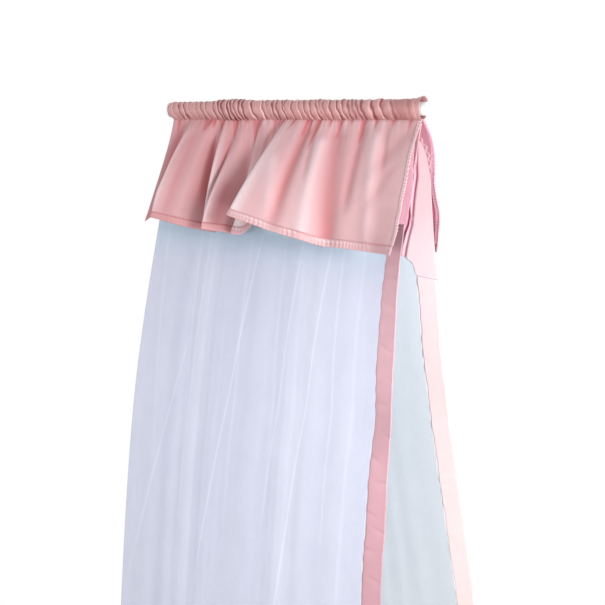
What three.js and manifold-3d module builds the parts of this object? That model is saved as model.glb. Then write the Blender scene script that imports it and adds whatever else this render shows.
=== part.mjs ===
// Bed canopy on a straight wall rod.
// A tube rod slides over a turned boss on the wall. A gathered casing is threaded on the rod,
// and from its seam hang two short valances and, under them, two long net curtains with ribbon edges.
// Millimetres, +Z up. The wall is the plane x = 0 and the rod runs along +X into the room.
// The front valance and curtain are on the -Y side, the back ones on the +Y side.

import * as THREE from "three";
import { mergeVertices } from "three/addons/utils/BufferGeometryUtils.js";
import Module from "manifold-3d";

const wasm = await Module();
wasm.setup();

// Clearances
const fitGap = 0.3;
const clothGap = 0.5;
const cutOverrun = 2;
const weldDistance = 1e-4;

// Rod, boss and cap
const rodLength = 676;
const rodRadius = 14;
const rodWall = 2;
const rodEdgeBevel = 0.6;
const flangeRadius = 18;
const flangeThickness = 4;
const flangeBevel = 0.8;
const spigotLength = 32;
const spigotBevel = 1.2;
const screwHoleRadius = 1.6;
const screwHeadRadius = 2.8;
const grubRadius = 2;
const grubSocketRadius = 1.1;
const grubSocketDepth = 2;
const grubSeatDepth = 3;
const capRimThickness = 3;
const capEdgeRadius = 1.2;
const capEdgeSteps = 4;
const capPlugLength = 16;
const capPlugBevel = 1;
const capHollowRadius = 8;

// Casing: the gathered tunnel that holds the rod
const casingRadius = 19.4;
const casingRuffle = 2.4;
const casingMouthFlare = 3.2;
const casingMouthLength = 26;
const casingEndSetback = 7;
const casingWallGap = 8;
const casingRibs = 31;
const casingSides = 12;
const boreSides = 16;
const ribLean = 3;
const seamThickness = 2.4;
const seamDepth = 8;

// Valances
const valanceThickness = 2;
const valanceDrop = 286;
const valanceFlare = 200;
const valanceRows = 7;
const stepsPerFold = 2;
const backValanceDrop = 288;
const backValanceFlare = 124;
const backValanceNearFlare = 72;
const backValanceSwing = 20;
const backValanceRows = 6;
const nearFoldBend = 1.8;
const farFoldBend = 0.3;
const backValanceWave = 17;
const backValanceWaves = 5;
const stepsPerWave = 8;

// Curtains and their ribbon edges
const curtainThickness = 1.4;
const curtainLength = 1570;
const curtainHalfSpread = 350;
const curtainEndFlare = 66;
const backEndFlare = 134;
const farEndFlare = 8;
const curtainRows = 8;
const curtainPleats = 9;
const pleatDepth = 21;
const stepsPerPleat = 5;
const ribbonWidth = 45;
const ribbonThickness = 2;
const ribbonSteps = 3;
const ribbonRows = 14;
const frontRibbonTurn = THREE.MathUtils.degToRad(30);
const backRibbonTurn = THREE.MathUtils.degToRad(34);

// Turned pieces
const turnSides = 40;
const holeSides = 20;
const socketSides = 6;

// Shares of the sizes above
// Each row of the fold table: place on the casing, place of the hem, its flare, its drop,
// its bow and how far the bow moves up towards the seam.
const frontFoldShares = [
  [0.005, 0.0, 0.66, 0.85, -0.1, -0.1],
  [0.05, 0.03, 0.6, 0.79, -0.4, 0.0],
  [0.105, 0.06, 0.775, 0.795, 0.75, 0.0],
  [0.114, 0.072, 0.775, 0.797, 0.7, 0.0],
  [0.15, 0.105, 0.76, 0.812, 0.45, 0.0],
  [0.19, 0.15, 0.735, 0.832, 0.3, 0.0],
  [0.2, 0.205, 0.64, 0.868, -0.2, 0.0],
  [0.208, 0.25, 0.5, 0.9, -0.5, 0.0],
  [0.226, 0.278, 0.47, 0.91, -0.5, 0.0],
  [0.245, 0.269, 0.67, 0.856, 0.45, 0.0],
  [0.253, 0.273, 0.685, 0.858, 0.4, 0.0],
  [0.276, 0.3, 0.6, 0.868, -0.1, 0.0],
  [0.292, 0.297, 0.79, 0.846, 0.0, -0.7],
  [0.302, 0.299, 0.815, 0.845, 0.05, -0.7],
  [0.332, 0.337, 0.69, 0.868, 0.0, 0.0],
  [0.364, 0.373, 0.54, 0.895, -0.35, 0.0],
  [0.374, 0.397, 0.46, 0.905, -0.4, 0.0],
  [0.385, 0.386, 0.65, 0.883, -0.35, 0.0],
  [0.394, 0.392, 0.66, 0.883, -0.25, 0.0],
  [0.412, 0.423, 0.62, 0.885, -0.2, 0.0],
  [0.443, 0.446, 0.5, 0.82, 0.0, 0.0],
  [0.479, 0.44, 0.48, 0.78, 0.1, 0.0],
  [0.508, 0.444, 0.975, 0.695, 0.3, 0.0],
  [0.52, 0.452, 1.0, 0.697, 0.3, 0.0],
  [0.565, 0.524, 0.95, 0.747, 0.3, 0.0],
  [0.626, 0.595, 0.87, 0.803, 0.35, 0.0],
  [0.696, 0.686, 0.76, 0.866, 0.4, 0.0],
  [0.762, 0.757, 0.68, 0.906, 0.45, 0.0],
  [0.798, 0.7875, 0.67, 0.906, 0.45, 0.0],
  [0.904, 0.904, 0.66, 0.917, 0.4, 0.3],
  [1.0, 1.0, 0.77, 0.91, 0.22, 0.6],
];
// Each row: depth share, then the share of the spread and the share of the end flare there.
const farEdgeShares = [
  [0.0, 0.0, 0.0],
  [0.15, 0.19, 1.0],
  [0.3, 0.41, 1.0],
  [0.44, 0.58, 1.0],
  [0.65, 0.76, 1.0],
  [1.0, 1.0, 1.0],
];
const frontNearEdgeShares = [
  [0.0, 0.0, 0.0],
  [0.17, 0.225, 0.03],
  [0.4, 0.43, 0.32],
  [0.68, 0.67, 0.68],
  [1.0, 0.93, 1.0],
];
const backNearEdgeShares = [
  [0.0, 0.0, 0.0],
  [0.18, 0.15, 0.16],
  [0.34, 0.27, 0.28],
  [0.47, 0.415, 0.4],
  [0.61, 0.57, 0.55],
  [0.84, 0.76, 0.86],
  [1.0, 0.89, 1.0],
];
const ribbonTurnPeakShare = 0.12;
const bunchPlaceShare = 0.3;
const bunchWidthShare = 0.1;
const bunchTightShare = 0.45;
const ribSpreadShare = 0.35;
const netSlopeShare = 0.33;
const clearBlendShare = 0.025;
const nudgeShare = 1e-3;

// Sizes that follow
const boreRadius = rodRadius - rodWall;
const spigotRadius = boreRadius - fitGap;
const tubeStart = flangeThickness + fitGap;
const screwCircle = (spigotRadius + flangeRadius) / 2;
const grubPlace = tubeStart + spigotLength / 2;
const capFace = rodLength + capRimThickness;
const casingStart = tubeStart + fitGap + casingWallGap;
const casingEnd = rodLength - casingEndSetback;
const casingLength = casingEnd - casingStart;
const casingBore = rodRadius + clothGap;
const seamBottom = -(casingRadius + seamDepth);
const valanceTop = -(casingRadius + casingRuffle / 2 + fitGap);
const valanceInset = (seamThickness + valanceThickness) / 2 + fitGap;
const curtainTop = seamBottom - fitGap;
const curtainInset = (ribbonThickness + fitGap) / 2;

const upright = new THREE.Vector3(0, 0, 1);

function finish(color, roughness, metalness = 0) {
  return new THREE.MeshStandardMaterial({ color, roughness, metalness, side: THREE.DoubleSide });
}

const whitePaint = finish("#f4f3f1", 0.35);
const whitePlastic = finish("#f1f0ee", 0.5);
const zincSteel = finish("#b9bcbf", 0.35, 1);
const pinkSatin = finish("#dfa7ad", 0.55);
const pinkLining = finish("#d88aa2", 0.6);
const rosyRibbon = finish("#d993a5", 0.5);
const paleRibbon = finish("#fbdfe2", 0.5);
const paleNet = finish("#cfd6e8", 0.9);

// Turns a closed three.js geometry into a solid for joining and cutting.
function toSolid(geometry) {
  const bare = geometry.index ? geometry.clone() : mergeVertices(geometry);
  bare.deleteAttribute("normal");
  bare.deleteAttribute("uv");
  const merged = mergeVertices(bare, weldDistance);
  return new wasm.Manifold(
    new wasm.Mesh({
      numProp: 3,
      vertProperties: merged.attributes.position.array,
      triVerts: new Uint32Array(merged.index.array),
    }),
  );
}

function toGeometry(solid) {
  const mesh = solid.getMesh();
  const places = new Float32Array(mesh.numVert * 3);
  for (let i = 0; i < mesh.numVert; i++) {
    places.set(mesh.vertProperties.subarray(i * mesh.numProp, i * mesh.numProp + 3), i * 3);
  }
  const geometry = new THREE.BufferGeometry();
  geometry.setAttribute("position", new THREE.BufferAttribute(places, 3));
  geometry.setIndex(new THREE.BufferAttribute(mesh.triVerts, 1));
  geometry.computeVertexNormals();
  return geometry;
}

function named(name, geometry, material) {
  const mesh = new THREE.Mesh(geometry, material);
  mesh.name = name;
  return mesh;
}

// Revolves a profile of [radius, place along X] about the X axis.
function turned(profile, sides = turnSides) {
  const points = profile.map(([radius, along]) => new THREE.Vector2(radius, along));
  return new THREE.LatheGeometry(points, sides).rotateZ(-Math.PI / 2);
}

// A straight round cutter along X from one place to another.
function cutterAlongX(radius, from, to, sides = holeSides) {
  return turned([[0, from], [radius, from], [radius, to], [0, to]], sides);
}

// The same cutter pointing down from the axis, at a place along X.
function cutterDown(radius, from, to, place, sides = holeSides) {
  return cutterAlongX(radius, from, to, sides).rotateY(Math.PI / 2).translate(place, 0, 0);
}

function makeWallBoss() {
  const end = flangeThickness + spigotLength;
  let boss = toSolid(
    turned([
      [0, 0],
      [flangeRadius, 0],
      [flangeRadius, flangeThickness - flangeBevel],
      [flangeRadius - flangeBevel, flangeThickness],
      [spigotRadius, flangeThickness],
      [spigotRadius, end - spigotBevel],
      [spigotRadius - spigotBevel, end],
      [0, end],
    ]),
  );
  for (const side of [-1, 1]) {
    const shank = cutterAlongX(screwHoleRadius, -cutOverrun, flangeThickness + cutOverrun);
    const sink = turned(
      [
        [0, flangeThickness - screwHeadRadius + screwHoleRadius],
        [screwHoleRadius, flangeThickness - screwHeadRadius + screwHoleRadius],
        [screwHeadRadius, flangeThickness],
        [screwHeadRadius, flangeThickness + cutOverrun],
        [0, flangeThickness + cutOverrun],
      ],
      holeSides,
    );
    boss = boss.subtract(toSolid(shank.translate(0, side * screwCircle, 0)));
    boss = boss.subtract(toSolid(sink.translate(0, side * screwCircle, 0)));
  }
  const seat = cutterDown(
    grubRadius + fitGap,
    spigotRadius - grubSeatDepth,
    spigotRadius + cutOverrun,
    grubPlace,
  );
  return toGeometry(boss.subtract(toSolid(seat)));
}

function makeRodTube() {
  const tube = toSolid(
    turned([
      [boreRadius, tubeStart],
      [rodRadius - rodEdgeBevel, tubeStart],
      [rodRadius, tubeStart + rodEdgeBevel],
      [rodRadius, rodLength - rodEdgeBevel],
      [rodRadius - rodEdgeBevel, rodLength],
      [boreRadius, rodLength],
      [boreRadius, tubeStart],
    ]),
  );
  const hole = cutterDown(grubRadius + fitGap, boreRadius - cutOverrun, rodRadius + cutOverrun, grubPlace);
  return toGeometry(tube.subtract(toSolid(hole)));
}

function makeGrubScrew() {
  const inner = spigotRadius - grubSeatDepth + fitGap;
  const screw = toSolid(cutterDown(grubRadius, inner, rodRadius - fitGap, grubPlace));
  const socket = cutterDown(
    grubSocketRadius,
    rodRadius - fitGap - grubSocketDepth,
    rodRadius + cutOverrun,
    grubPlace,
    socketSides,
  );
  return toGeometry(screw.subtract(toSolid(socket)));
}

function makeEndCap() {
  const plugRadius = boreRadius - fitGap;
  const rimStart = rodLength + fitGap;
  const plugEnd = rodLength - capPlugLength;
  const edge = Array.from({ length: capEdgeSteps }, (_, step) => {
    const angle = (((step + 1) / capEdgeSteps) * Math.PI) / 2;
    return [
      rodRadius - capEdgeRadius * (1 - Math.cos(angle)),
      capFace - capEdgeRadius * (1 - Math.sin(angle)),
    ];
  });
  return turned([
    [0, rimStart],
    [capHollowRadius, rimStart],
    [capHollowRadius, plugEnd],
    [plugRadius - capPlugBevel, plugEnd],
    [plugRadius, plugEnd + capPlugBevel],
    [plugRadius, rimStart],
    [rodRadius, rimStart],
    [rodRadius, capFace - capEdgeRadius],
    ...edge,
    [0, capFace],
  ]);
}

// Places of the creases along the casing: bunched at one place, wider towards the open end.
function creasePlaces() {
  const steps = [];
  for (let rib = 0; rib < casingRibs; rib++) {
    const share = (rib + 0.5) / casingRibs;
    const bunch = Math.exp(-(((share - bunchPlaceShare) / bunchWidthShare) ** 2));
    steps.push(1 + ribSpreadShare * share - bunchTightShare * bunch);
  }
  const total = steps.reduce((sum, step) => sum + step, 0);
  const places = [0];
  steps.forEach((step) => places.push(places[places.length - 1] + (step / total) * casingLength));
  return places.map((place) => casingStart + place);
}

// A tube skin through rings of equal count, closed at both ends by flat fans.
function ringSkin(rings) {
  const sides = rings[0].length;
  const places = rings.flat();
  const centres = [rings[0], rings[rings.length - 1]].map((ring) =>
    ring.reduce((sum, point) => sum.add(point), new THREE.Vector3()).divideScalar(sides),
  );
  const index = [];
  for (let ring = 0; ring + 1 < rings.length; ring++) {
    for (let side = 0; side < sides; side++) {
      const a = ring * sides + side;
      const b = ring * sides + ((side + 1) % sides);
      index.push(a, a + sides, b, b, a + sides, b + sides);
    }
  }
  const first = places.length;
  const last = (rings.length - 1) * sides;
  for (let side = 0; side < sides; side++) {
    const next = (side + 1) % sides;
    index.push(first, side, next);
    index.push(first + 1, last + next, last + side);
  }
  const geometry = new THREE.BufferGeometry().setFromPoints([...places, ...centres]);
  geometry.setIndex(index);
  return geometry;
}

function makeCasing() {
  const creases = creasePlaces();
  const stations = [];
  creases.forEach((place, i) => {
    stations.push([place, -1]);
    if (i + 1 < creases.length) {
      stations.push([(place + creases[i + 1]) / 2, 1]);
    }
  });
  const rings = stations.map(([place, crest], i) => {
    const mouth = Math.max(0, 1 - (casingEnd - place) / casingMouthLength);
    const inner = i > 0 && i + 1 < stations.length ? 1 : 0;
    const ring = [];
    for (let side = 0; side < casingSides; side++) {
      const angle = (2 * Math.PI * side) / casingSides;
      const lift = casingMouthFlare * mouth * mouth * Math.max(0, Math.cos(angle));
      const radius = casingRadius + (casingRuffle * crest) / 2 + lift;
      const along = place + (inner * ribLean * (1 - Math.cos(angle))) / 2;
      ring.push(new THREE.Vector3(along, radius * Math.sin(angle), radius * Math.cos(angle)));
    }
    return ring;
  });
  const skin = toSolid(ringSkin(rings));
  const seam = new THREE.BoxGeometry(casingLength, seamThickness, seamDepth + casingRuffle);
  seam.translate((casingStart + casingEnd) / 2, 0, seamBottom + (seamDepth + casingRuffle) / 2);
  const bore = cutterAlongX(casingBore, casingStart - cutOverrun, casingEnd + cutOverrun, boreSides);
  return toGeometry(skin.add(toSolid(seam)).subtract(toSolid(bore)));
}

// A closed cloth of even thickness about the surface place(u, v).
// u runs along the cloth and v down it, both from 0 to 1.
function clothSolid(place, columns, rows, thickness) {
  const outer = [];
  const inner = [];
  for (let row = 0; row <= rows; row++) {
    for (let column = 0; column <= columns; column++) {
      const u = column / columns;
      const v = row / rows;
      const along = place(Math.min(1, u + nudgeShare), v).sub(place(Math.max(0, u - nudgeShare), v));
      const down = place(u, Math.min(1, v + nudgeShare)).sub(place(u, Math.max(0, v - nudgeShare)));
      const out = new THREE.Vector3().crossVectors(down, along).normalize();
      const middle = place(u, v);
      outer.push(middle.clone().addScaledVector(out, thickness / 2));
      inner.push(middle.clone().addScaledVector(out, -thickness / 2));
    }
  }
  const across = columns + 1;
  const back = outer.length;
  const index = [];
  const quad = (a, b, c, d) => index.push(a, b, c, a, c, d);
  for (let row = 0; row < rows; row++) {
    for (let column = 0; column < columns; column++) {
      const a = row * across + column;
      quad(a, a + across, a + across + 1, a + 1);
      quad(back + a, back + a + 1, back + a + across + 1, back + a + across);
    }
  }
  for (let column = 0; column < columns; column++) {
    const low = rows * across + column;
    quad(column, column + 1, back + column + 1, back + column);
    quad(low, back + low, back + low + 1, low + 1);
  }
  for (let row = 0; row < rows; row++) {
    const left = row * across;
    const right = left + columns;
    quad(left, back + left, back + left + across, left + across);
    quad(right, right + across, back + right + across, back + right);
  }
  const geometry = new THREE.BufferGeometry().setFromPoints([...outer, ...inner]);
  geometry.setIndex(index);
  geometry.computeVertexNormals();
  return geometry;
}

// A smooth value between the rows of a table whose first column rises from 0 to 1.
function between(table, share, column) {
  const last = table.length - 1;
  let row = 0;
  while (row < last - 1 && table[row + 1][0] < share) {
    row++;
  }
  const at = (i) => table[Math.min(last, Math.max(0, i))];
  const slope = (i) =>
    (at(i + 1)[column] - at(i - 1)[column]) / (at(i + 1)[0] - at(i - 1)[0]);
  const width = at(row + 1)[0] - at(row)[0];
  const t = (share - at(row)[0]) / width;
  const a = at(row)[column];
  const b = at(row + 1)[column];
  return (
    a * (1 + 2 * t) * (1 - t) ** 2 +
    b * t * t * (3 - 2 * t) +
    width * (slope(row) * t * (1 - t) ** 2 - slope(row + 1) * t * t * (1 - t))
  );
}

// The larger of two lengths, with a soft change from one to the other.
function softlyAbove(length, floor, blend) {
  return (length + floor + Math.hypot(length - floor, blend)) / 2 - blend / 4;
}

// The valance from its seam on the casing, bowing outwards to its hem.
function valancePlace(top, hem, bow, v, skew = 0) {
  const swing = v + v * (1 - v) * (bow + skew * (1 - 2 * v));
  return new THREE.Vector3(
    THREE.MathUtils.lerp(top.x, hem.x, v),
    THREE.MathUtils.lerp(top.y, hem.y, swing),
    THREE.MathUtils.lerp(top.z, hem.z, v),
  );
}

function makeFrontValance() {
  const tops = frontFoldShares.map(
    ([seat]) => new THREE.Vector3(casingStart + seat * casingLength, -valanceInset, valanceTop),
  );
  const hems = frontFoldShares.map(([, along, flare, drop]) => {
    const low = valanceTop - drop * valanceDrop;
    return new THREE.Vector3(casingStart + along * casingLength, -flare * valanceFlare, low);
  });
  const bows = frontFoldShares.map(([, , , , bow, skew]) => new THREE.Vector3(bow, skew, 0));
  const lines = [tops, hems, bows].map((points) => new THREE.CatmullRomCurve3(points));
  const place = (u, v) => {
    const [top, hem, bow] = lines.map((line) => line.getPoint(u));
    const point = valancePlace(top, hem, bow.x, v, bow.y);
    const clear = valanceInset + netSlopeShare * Math.max(0, curtainTop - point.z);
    return point.setY(-softlyAbove(-point.y, clear, clearBlendShare * valanceFlare));
  };
  return clothSolid(place, stepsPerFold * (tops.length - 1), valanceRows, valanceThickness);
}

function makeBackValance() {
  const place = (u, v) => {
    const away = Math.sqrt(u);
    const wave = Math.sin(2 * Math.PI * backValanceWaves * u) * Math.sqrt(Math.sin(Math.PI * u));
    const calm = THREE.MathUtils.lerp(backValanceNearFlare, backValanceFlare, away);
    const top = new THREE.Vector3(casingEnd - u * casingLength, valanceInset, valanceTop);
    const hem = new THREE.Vector3(
      top.x + backValanceSwing * (1 - u) ** 2,
      calm + backValanceWave * wave,
      valanceTop - backValanceDrop,
    );
    return valancePlace(top, hem, THREE.MathUtils.lerp(nearFoldBend, farFoldBend, away), v);
  };
  return clothSolid(place, stepsPerWave * backValanceWaves, backValanceRows, valanceThickness);
}

// The line that a curtain's upright edge follows, from the seam down to the floor hem.
// side is -1 for the front curtain and 1 for the back one.
function edgePlace(table, start, endFlare, side, v) {
  const spread = between(table, v, 1) * curtainHalfSpread;
  return new THREE.Vector3(
    start + between(table, v, 2) * endFlare,
    side * Math.max(curtainInset, spread),
    curtainTop - v * curtainLength,
  );
}

function curtainEdges(side) {
  const table = side < 0 ? frontNearEdgeShares : backNearEdgeShares;
  const flare = side < 0 ? curtainEndFlare : backEndFlare;
  const near = (v) => edgePlace(table, casingEnd, flare, side, v);
  const far = (v) => edgePlace(farEdgeShares, casingStart, -farEndFlare, side, v);
  const seam = (v) => {
    const hump = (v / ribbonTurnPeakShare) * Math.exp(1 - v / ribbonTurnPeakShare);
    const turn = side < 0 ? frontRibbonTurn * hump : -backRibbonTurn * v * v * (3 - 2 * v);
    const towards = far(v).sub(near(v)).normalize().applyAxisAngle(upright, -turn);
    return near(v).addScaledVector(towards, ribbonWidth);
  };
  return { near, far, seam };
}

function makeCurtain(side) {
  const { far, seam } = curtainEdges(side);
  const place = (u, v) => {
    const a = far(v);
    const b = seam(v);
    const gap = ribbonThickness / 2 + fitGap;
    const point = a.lerp(b, u * (1 - gap / a.distanceTo(b)));
    const calm = Math.sqrt(Math.sin(Math.PI * u));
    const depth = pleatDepth * (2 * v - v * v) * calm;
    return point.setY(point.y + (depth / 2) * Math.sin(2 * Math.PI * curtainPleats * u));
  };
  return clothSolid(place, curtainPleats * stepsPerPleat, curtainRows, curtainThickness);
}

function makeRibbon(side) {
  const { near, seam } = curtainEdges(side);
  const place = (u, v) => seam(v).lerp(near(v), u);
  return clothSolid(place, ribbonSteps, ribbonRows, ribbonThickness);
}

const root = new THREE.Group();
root.add(named("wall_boss", makeWallBoss(), whitePaint));
root.add(named("rod_tube", makeRodTube(), whitePaint));
root.add(named("grub_screw", makeGrubScrew(), zincSteel));
root.add(named("end_cap", makeEndCap(), whitePlastic));
root.add(named("rod_casing", makeCasing(), pinkSatin));
root.add(named("valance_front", makeFrontValance(), pinkSatin));
root.add(named("valance_back", makeBackValance(), pinkLining));
root.add(named("curtain_front", makeCurtain(-1), paleNet));
root.add(named("curtain_back", makeCurtain(1), paleNet));
root.add(named("ribbon_front", makeRibbon(-1), rosyRibbon));
root.add(named("ribbon_back", makeRibbon(1), paleRibbon));

export default root;
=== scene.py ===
# Looks of a bed canopy on a straight wall rod.
# Metres, +Z up. The wall is the plane x = 0 and the rod runs along +X into the room.
# The front valance and net are on the -Y side, the back ones on the +Y side.

import math

import bmesh
import bpy
import numpy as np
from mathutils import Matrix, Vector


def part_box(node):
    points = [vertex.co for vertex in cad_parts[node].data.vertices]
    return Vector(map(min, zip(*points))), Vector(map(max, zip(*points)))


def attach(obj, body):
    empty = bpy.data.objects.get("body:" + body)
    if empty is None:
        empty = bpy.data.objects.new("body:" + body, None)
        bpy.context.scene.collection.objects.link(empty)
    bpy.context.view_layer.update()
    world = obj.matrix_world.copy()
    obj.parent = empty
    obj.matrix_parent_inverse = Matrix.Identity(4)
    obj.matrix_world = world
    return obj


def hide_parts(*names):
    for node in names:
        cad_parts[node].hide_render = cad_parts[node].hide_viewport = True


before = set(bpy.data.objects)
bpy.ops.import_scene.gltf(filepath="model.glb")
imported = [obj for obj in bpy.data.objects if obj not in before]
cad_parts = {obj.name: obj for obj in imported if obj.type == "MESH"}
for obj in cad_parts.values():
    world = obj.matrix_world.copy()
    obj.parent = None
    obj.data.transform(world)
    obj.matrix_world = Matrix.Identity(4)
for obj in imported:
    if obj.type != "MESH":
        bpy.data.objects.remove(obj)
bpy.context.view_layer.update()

MM = 0.001

# Places along the rod and heights. The casing's end and the bottom of its seam come from the frame.
casing_low, casing_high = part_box("rod_casing")
CASING_START = 12.6 * MM
CASING_END = casing_high.x
CASING_LENGTH = CASING_END - CASING_START
SEAM_BOTTOM = casing_low.z
VALANCE_TOP = -20.9 * MM
CURTAIN_TOP = SEAM_BOTTOM - 0.3 * MM

# Cloth
SATIN_THICKNESS = 0.8 * MM
HEM_THICKNESS = 0.5 * MM
NET_THICKNESS = 0.4 * MM
RIBBON_THICKNESS = 0.9 * MM

# Casing, with angles in radians from its top
CASING_LEAN = 6.5 * MM
# Width of the painted highlights on the ruffles' rims and of the painted shade in their grooves, and where
# along the rod the painted highlights widen.
RIM_WIDTH = 1.2 * MM
WIDE_RIMS_START = 450 * MM
WIDE_RIMS_REACH = 120 * MM
# Places along the rod, in metres, between which the casing's painted tone is pulled darker, towards the
# painted shade of its grooves.
DARKER_BAND_START = 0.57
DARKER_BAND_END = 0.64
PINCH_ANGLE = 2.35
SHOULDER_ANGLE = 2.6
SHOULDER_REACH = 0.3
SEAM_HALF = 0.7 * MM
MOUTH_LENGTH = 30 * MM
MOUTH_FLARE = 5.6 * MM
MOUTH_SLANT = 4 * MM
MOUTH_HOLLOW = 2 * MM
FAR_LIP = 5.5 * MM
FAR_LIP_LENGTH = 24 * MM

# Valances
VALANCE_INSET = 2.5 * MM
VALANCE_DROP = 286 * MM
VALANCE_FLARE = 200 * MM
FRONT_WIDTH = 1.0
FRONT_DEPTH = 0.29
BACK_WIDTH = 0.92
BACK_DEPTH = 0.295
BACK_DROP = 288 * MM
BACK_FLARE = 124 * MM
BACK_NEAR_FLARE = 72 * MM
BACK_SWING = 20 * MM
BACK_CURL = 5 * MM
BACK_WAVE = 17 * MM
BACK_WAVES = 5
NEAR_FOLD_BEND = 1.8
FAR_FOLD_BEND = 0.3
HEM_WIDTH = 18 * MM
SIDE_HEM_WIDTH = 7 * MM
HEM_LIFT = (SATIN_THICKNESS + HEM_THICKNESS) / 2 + 0.1 * MM
PUCKER_PERIOD = 8.5 * MM
SEAM_PUFF = 3.5 * MM
GATHER_LEAN = 30 * MM
GATHER_SHARP = 0.7
# Share of the front valance's width over which its hollows are found, and the depth at which their painted
# shade is full.
HOLLOW_REACH = 0.028
HOLLOW_DEPTH = 9 * MM
HEAD_GAP = 4 * MM
HEAD_LOW_GAP = 1.5 * MM
HEAD_PLEAT = 2.2 * MM

# Nets and ribbons
CURTAIN_LENGTH = 1.57
CURTAIN_HALF_SPREAD = 350 * MM
FRONT_END_FLARE = 66 * MM
BACK_END_FLARE = 134 * MM
FAR_END_FLARE = 8 * MM
CURTAIN_INSET = 1.15 * MM
RIBBON_WIDTH = 45 * MM
FRONT_RIBBON_TURN = math.radians(30)
BACK_RIBBON_TURN = math.radians(34)
RIBBON_TURN_PEAK = 0.12
FRONT_RIBBON_TWIST = math.radians(12)
RIBBON_TWIST_PLACE = 0.4
RIBBON_TWIST_REACH = 0.055
NET_GAP = 0.8 * MM
PLEAT_DEPTH = 21 * MM
BACK_PLEAT_SHARE = 0.6
NET_SLOPE = 0.33
# The nets' UV map is wider than their cloth, which makes the weave finer across.
NET_MAP_WIDTH = 1.5
# Depths under the nets' top between which they turn cooler, a painted shade of the valance above, and how
# far.
SHADE_TINT_START_DEPTH = 0.36
SHADE_TINT_FULL_DEPTH = 0.2
SHADE_TINT_SHARE = 0.8

# Finishes
SATIN_THREADS = 2400.0
SATIN_SLUB = 0.5
SATIN_SHEEN = 0.12
NET_THREADS = 520.0
NET_SLUB = 0.3
NET_OPACITY = 0.92

# Small step in u and v for the slope of a surface
NUDGE = 1e-3

# Each row: place on the casing, place of the hem, its flare, its drop, its bow and the skew of the bow,
# as shares. The bow swells the cloth outwards, and the skew moves the swelling up towards the seam.
FRONT_FOLDS = [
    [0.005, 0.0, 0.66, 0.85, -0.1, -0.1],
    [0.05, 0.03, 0.6, 0.79, -0.4, 0.0],
    [0.105, 0.06, 0.775, 0.795, 0.75, 0.0],
    [0.114, 0.072, 0.775, 0.797, 0.7, 0.0],
    [0.15, 0.105, 0.76, 0.812, 0.45, 0.0],
    [0.19, 0.15, 0.735, 0.832, 0.3, 0.0],
    [0.2, 0.205, 0.64, 0.868, -0.2, 0.0],
    [0.208, 0.25, 0.5, 0.9, -0.5, 0.0],
    [0.226, 0.278, 0.47, 0.91, -0.5, 0.0],
    [0.245, 0.269, 0.67, 0.856, 0.45, 0.0],
    [0.253, 0.273, 0.685, 0.858, 0.4, 0.0],
    [0.276, 0.3, 0.6, 0.868, -0.1, 0.0],
    [0.292, 0.297, 0.79, 0.846, 0.0, -0.7],
    [0.302, 0.299, 0.815, 0.845, 0.05, -0.7],
    [0.332, 0.337, 0.69, 0.868, 0.0, 0.0],
    [0.364, 0.373, 0.54, 0.895, -0.35, 0.0],
    [0.374, 0.397, 0.46, 0.905, -0.4, 0.0],
    [0.385, 0.386, 0.65, 0.883, -0.35, 0.0],
    [0.394, 0.392, 0.66, 0.883, -0.25, 0.0],
    [0.412, 0.423, 0.62, 0.885, -0.2, 0.0],
    [0.443, 0.446, 0.5, 0.82, 0.0, 0.0],
    [0.479, 0.44, 0.48, 0.78, 0.1, 0.0],
    [0.508, 0.444, 0.975, 0.695, 0.3, 0.0],
    [0.52, 0.452, 1.0, 0.697, 0.3, 0.0],
    [0.565, 0.524, 0.95, 0.747, 0.3, 0.0],
    [0.626, 0.595, 0.87, 0.803, 0.35, 0.0],
    [0.696, 0.686, 0.76, 0.866, 0.4, 0.0],
    [0.762, 0.757, 0.68, 0.906, 0.45, 0.0],
    [0.798, 0.7875, 0.67, 0.906, 0.45, 0.0],
    [0.904, 0.904, 0.66, 0.917, 0.4, 0.3],
    [1.0, 1.0, 0.77, 0.91, 0.22, 0.6],
]
# Each row: depth share, then the share of the spread and the share of the end flare there.
FAR_EDGE = [[0, 0, 0], [0.15, 0.19, 1], [0.3, 0.41, 1], [0.44, 0.58, 1], [0.65, 0.76, 1], [1, 1, 1]]
FRONT_NEAR_EDGE = [[0, 0, -0.02], [0.17, 0.225, -0.1], [0.4, 0.43, 0.2], [0.68, 0.67, 0.54], [1, 0.93, 0.86]]
BACK_NEAR_EDGE = [
    [0, 0, 0], [0.18, 0.15, 0.16], [0.34, 0.27, 0.28], [0.47, 0.415, 0.4],
    [0.61, 0.57, 0.55], [0.84, 0.76, 0.86], [1, 0.89, 1],
]
# Each row: a crease's place along the rod and the height of the ruffle behind it, in millimetres.
CREASES = [
    [24, 1.6], [41, 1.2], [57, 2.8], [74, 2.0], [93, 1.2], [109, 1.6], [126, 2.2], [146, 1.5], [163, 3.0],
    [174, 3.2], [189, 2.4], [199, 3.2], [210, 2.8], [222, 2.2], [232, 2.8], [258, 2.4], [286, 3.2],
    [299, 2.0], [314, 1.4], [325, 3.0], [341, 1.9], [349, 2.8], [364, 1.4], [383, 2.4], [398, 1.5],
    [412, 2.3], [427, 1.9], [437, 2.3], [446, 1.4], [461, 2.2], [479, 2.1], [494, 2.8], [505, 1.7],
    [515, 2.1], [526, 1.7], [538, 2.1], [560, 2.4], [585, 2.6], [606, 1.8], [617, 1.3], [643, 1.1],
    [658, 0.9],
]
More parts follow.
